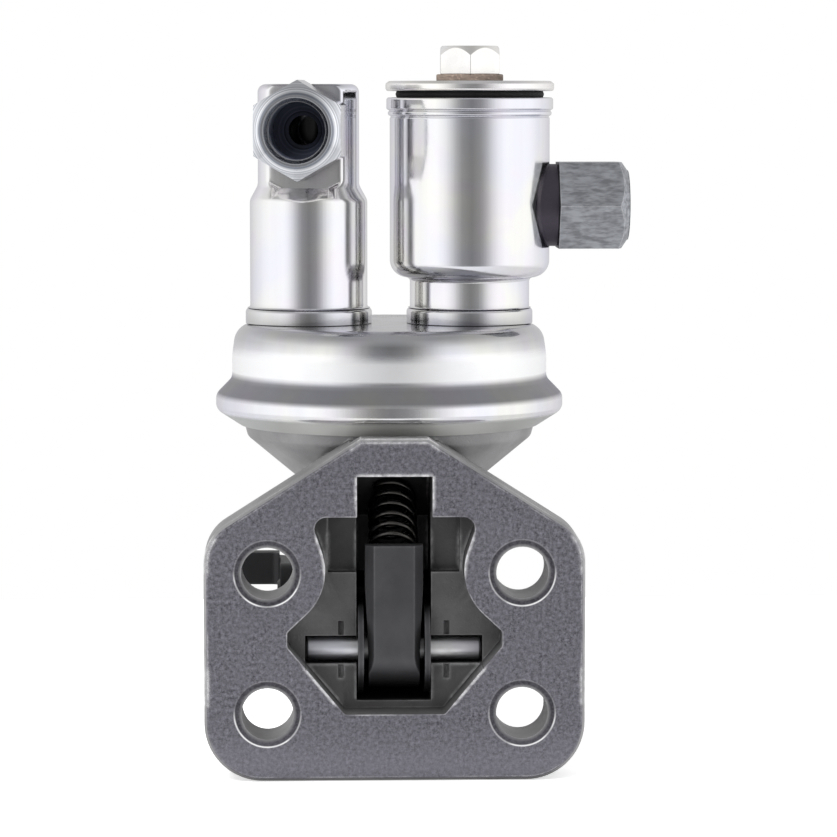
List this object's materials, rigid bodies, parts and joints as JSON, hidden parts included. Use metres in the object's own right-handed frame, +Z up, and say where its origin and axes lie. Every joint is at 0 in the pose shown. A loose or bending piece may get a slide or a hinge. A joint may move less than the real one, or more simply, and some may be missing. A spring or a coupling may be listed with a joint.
{
  "type": "fuel pump",
  "caption": "Mechanical diaphragm fuel pump with a bolt-on flange, a rocker arm in its window, a round pressed dome, an outlet tower and a strainer can with hexagon fittings.",
  "frame": {"origin": "centre of the four bolt holes, on the flange's mounting face", "axes": "+X to the right along the flange as seen from the engine, +Y from the engine into the pump, +Z up along the diaphragm's axis towards the fittings"},
  "size_m": [0.0933, 0.0825, 0.1559],
  "materials": {
    "cast_aluminium": "sanded cast, satin",
    "plated_steel": "bright zinc plated",
    "fitting_steel": "milled and plated",
    "cover_steel": "bright plated",
    "washer_fibre": "matte",
    "black_rubber": "matte",
    "dark_steel": "dark phosphated, satin",
    "link_steel": "pressed, satin",
    "pin_steel": "ground, satin",
    "spring_steel": "drawn wire",
    "valve_plastic": "moulded, matte",
    "strainer_mesh": "fine gauze",
    "diaphragm_cloth": "rubbered cloth",
    "plate_steel": "pressed, plated"
  },
  "bodies": {
    "pump_body": {"lower_housing": "cast_aluminium", "upper_shell": "plated_steel", "outlet_tower": "plated_steel", "outlet_fitting": "plated_steel", "inlet_can": "plated_steel", "inlet_fitting": "fitting_steel", "cover_gasket": "black_rubber", "can_cover": "cover_steel", "cover_washer": "washer_fibre", "cover_bolt": "cover_steel", "can_post": "plate_steel", "strainer": "strainer_mesh", "valve_body": "valve_plastic", "inlet_valve_cage": "valve_plastic", "inlet_valve_spring": "spring_steel", "outlet_valve_cage": "valve_plastic", "outlet_valve_spring": "spring_steel", "diaphragm": "diaphragm_cloth", "diaphragm_spring": "spring_steel", "spring_seat": "plate_steel", "oil_seal": "black_rubber", "pivot_pin": "pin_steel", "rocker_spring": "spring_steel", "primer_spring": "spring_steel"},
    "rocker": {"rocker_arm": "dark_steel"},
    "link": {"rocker_link": "link_steel"},
    "diaphragm_stack": {"upper_plate": "plate_steel", "lower_plate": "plate_steel", "pull_rod": "plate_steel", "rod_nut": "plate_steel"},
    "primer": {"primer_shaft": "link_steel", "primer_lever": "dark_steel"},
    "inlet_disc": {"inlet_valve_disc": "black_rubber"},
    "outlet_disc": {"outlet_valve_disc": "black_rubber"}
  },
  "joints": [
    {"name": "rocker_swing", "type": "hinge", "parent": "pump_body", "child": "rocker", "pos_m": [0, 0.0125, -0.0026], "axis": [-1, 0, 0], "range_deg": [0, 9], "stiffness_Nm_per_rad": 2, "springref_deg": -1.15, "deforming": ["rocker_spring"]},
    {"name": "link_swing", "type": "hinge", "parent": "pump_body", "child": "link", "pos_m": [0, 0.0125, -0.0026], "axis": [-1, 0, 0], "range_deg": [0, 9.1]},
    {"name": "diaphragm_stroke", "type": "slide", "parent": "pump_body", "child": "diaphragm_stack", "axis": [0, 0, -1], "range_m": [0, 0.005], "deforming": ["diaphragm_spring", "diaphragm"]},
    {"name": "primer_swing", "type": "hinge", "parent": "pump_body", "child": "primer", "pos_m": [0, 0.0355, 0.0062], "axis": [-1, 0, 0], "range_deg": [0, 25], "stiffness_Nm_per_rad": 0.05, "springref_deg": -5.73, "deforming": ["primer_spring"]},
    {"name": "inlet_valve_lift", "type": "slide", "parent": "pump_body", "child": "inlet_disc", "axis": [0, 0, -1], "range_m": [0, 0.0012], "stiffness_N_per_m": 100, "springref_m": -0.00005, "deforming": ["inlet_valve_spring"]},
    {"name": "outlet_valve_lift", "type": "slide", "parent": "pump_body", "child": "outlet_disc", "axis": [0, 0, 1], "range_m": [0, 0.0012], "stiffness_N_per_m": 100, "springref_m": -0.00002, "deforming": ["outlet_valve_spring"]}
  ],
  "couplings": [
    {"joint": "link_swing", "follows": "rocker_swing", "ratio": 1},
    {"joint": "diaphragm_stroke", "follows": "rocker_swing", "m_per_rad": 0.0315}
  ]
}
